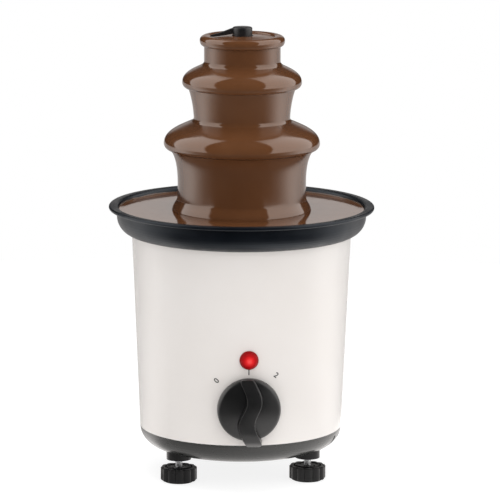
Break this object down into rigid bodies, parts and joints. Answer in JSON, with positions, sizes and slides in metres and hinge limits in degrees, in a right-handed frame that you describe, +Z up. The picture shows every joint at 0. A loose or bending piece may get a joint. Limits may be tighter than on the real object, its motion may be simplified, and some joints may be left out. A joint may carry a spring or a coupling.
{
  "type": "chocolate fountain",
  "caption": "Table chocolate fountain: a heated bowl on a round casing with control knob and screw feet, and a lift-off tiered tower with an auger inside.",
  "frame": {"origin": "on the table, under the middle of the bowl, at the underside of the foot pads", "axes": "+Z up along the tower's axis, -Y to the front with the lamp and the knob, +X to the right as seen from the front"},
  "size_m": [0.178, 0.178, 0.3035],
  "materials": {
    "casing_enamel": "gloss",
    "tray_plastic": "satin",
    "bowl_coating": "satin",
    "chocolate": "gloss",
    "tower_plastic": "satin",
    "auger_plastic": "satin",
    "knob_plastic": "satin",
    "foot_plastic": "satin",
    "pad_rubber": "matt",
    "zinc_steel": "zinc plated",
    "shaft_steel": "ground",
    "motor_can": "satin",
    "heater_alloy": "matt",
    "gear_nylon": "moulded",
    "bush_brass": "turned",
    "pale_plastic": "moulded",
    "switch_plastic": "moulded",
    "lamp_red": "gloss"
  },
  "bodies": {
    "base": {"base_tray": "tray_plastic", "casing": "casing_enamel", "bowl": "bowl_coating", "chocolate_pool": "chocolate", "foot_socket_1": "foot_plastic", "foot_socket_2": "foot_plastic", "foot_socket_3": "foot_plastic", "idler_pin": "shaft_steel", "motor": "motor_can", "motor_screw_1": "zinc_steel", "motor_screw_2": "zinc_steel", "lower_plate": "zinc_steel", "upper_plate": "zinc_steel", "lower_bush": "bush_brass", "upper_bush": "bush_brass", "shaft_seal": "pad_rubber", "tie_rod_1": "zinc_steel", "tie_rod_2": "zinc_steel", "tie_rod_3": "zinc_steel", "rod_spacers": "zinc_steel", "heater_ring": "heater_alloy", "heater_clamp": "zinc_steel", "heater_studs": "zinc_steel", "heater_nuts": "zinc_steel", "thermostat": "pale_plastic", "terminal_block": "pale_plastic", "rotary_switch": "switch_plastic", "switch_nut": "zinc_steel", "lamp_lens": "lamp_red", "lamp_body": "pale_plastic", "lamp_clip": "zinc_steel", "cord_gland": "foot_plastic", "gland_nut": "foot_plastic"},
    "tower": {"tower_drum": "tower_plastic", "tower_column": "tower_plastic", "lower_tier": "tower_plastic", "middle_tier": "tower_plastic", "crown": "tower_plastic", "crown_cascade": "chocolate", "middle_cascade": "chocolate", "lower_cascade": "chocolate"},
    "screw": {"auger": "auger_plastic"},
    "output_drive": {"drive_dog": "shaft_steel", "drive_shaft": "shaft_steel", "output_gear": "gear_nylon"},
    "idler": {"idler_gear": "gear_nylon"},
    "rotor": {"motor_shaft": "shaft_steel", "motor_pinion": "bush_brass"},
    "control_knob": {"knob": "knob_plastic", "switch_spindle": "shaft_steel"},
    "foot_base_1": {"foot_pad_1": "pad_rubber"},
    "foot_screw_1": {"foot_wheel_1": "foot_plastic", "foot_stud_1": "zinc_steel"},
    "foot_base_2": {"foot_pad_2": "pad_rubber"},
    "foot_screw_2": {"foot_wheel_2": "foot_plastic", "foot_stud_2": "zinc_steel"},
    "foot_base_3": {"foot_pad_3": "pad_rubber"},
    "foot_screw_3": {"foot_wheel_3": "foot_plastic", "foot_stud_3": "zinc_steel"}
  },
  "joints": [
    {"name": "tower_lift", "type": "slide", "parent": "base", "child": "tower", "axis": [0, 0, 1], "range_m": [0, 0.12]},
    {"name": "output_spin", "type": "hinge", "parent": "base", "child": "output_drive", "pos_m": [0, 0, 0.14], "axis": [0, 0, 1], "continuous": true},
    {"name": "screw_spin", "type": "hinge", "parent": "tower", "child": "screw", "pos_m": [0, 0, 0.23], "axis": [0, 0, 1], "continuous": true},
    {"name": "idler_spin", "type": "hinge", "parent": "base", "child": "idler", "pos_m": [0, 0.028, 0.117], "axis": [0, 0, 1], "continuous": true},
    {"name": "rotor_spin", "type": "hinge", "parent": "base", "child": "rotor", "pos_m": [-0.02255, 0.01979, 0.112], "axis": [0, 0, 1], "continuous": true},
    {"name": "knob_turn", "type": "hinge", "parent": "base", "child": "control_knob", "pos_m": [0, -0.06891, 0.059], "axis": [0, -0.9991, -0.0435], "range_deg": [-45, 45]},
    {"name": "foot_lift_1", "type": "slide", "parent": "base", "child": "foot_base_1", "axis": [0, 0, 1], "range_m": [-0.006, 0.004]},
    {"name": "foot_turn_1", "type": "hinge", "parent": "foot_base_1", "child": "foot_screw_1", "pos_m": [-0.0433, -0.025, 0.005], "axis": [0, 0, 1], "range_deg": [-2700, 1800]},
    {"name": "foot_lift_2", "type": "slide", "parent": "base", "child": "foot_base_2", "axis": [0, 0, 1], "range_m": [-0.006, 0.004]},
    {"name": "foot_turn_2", "type": "hinge", "parent": "foot_base_2", "child": "foot_screw_2", "pos_m": [0.0433, -0.025, 0.005], "axis": [0, 0, 1], "range_deg": [-2700, 1800]},
    {"name": "foot_lift_3", "type": "slide", "parent": "base", "child": "foot_base_3", "axis": [0, 0, 1], "range_m": [-0.006, 0.004]},
    {"name": "foot_turn_3", "type": "hinge", "parent": "foot_base_3", "child": "foot_screw_3", "pos_m": [0, 0.05, 0.005], "axis": [0, 0, 1], "range_deg": [-2700, 1800]}
  ],
  "couplings": [
    {"joint": "screw_spin", "follows": "output_spin", "ratio": 1},
    {"joint": "idler_spin", "follows": "output_spin", "ratio": -3},
    {"joint": "rotor_spin", "follows": "output_spin", "ratio": 12},
    {"joint": "foot_lift_1", "follows": "foot_turn_1", "m_per_rad": 0.0001273},
    {"joint": "foot_lift_2", "follows": "foot_turn_2", "m_per_rad": 0.0001273},
    {"joint": "foot_lift_3", "follows": "foot_turn_3", "m_per_rad": 0.0001273}
  ]
}
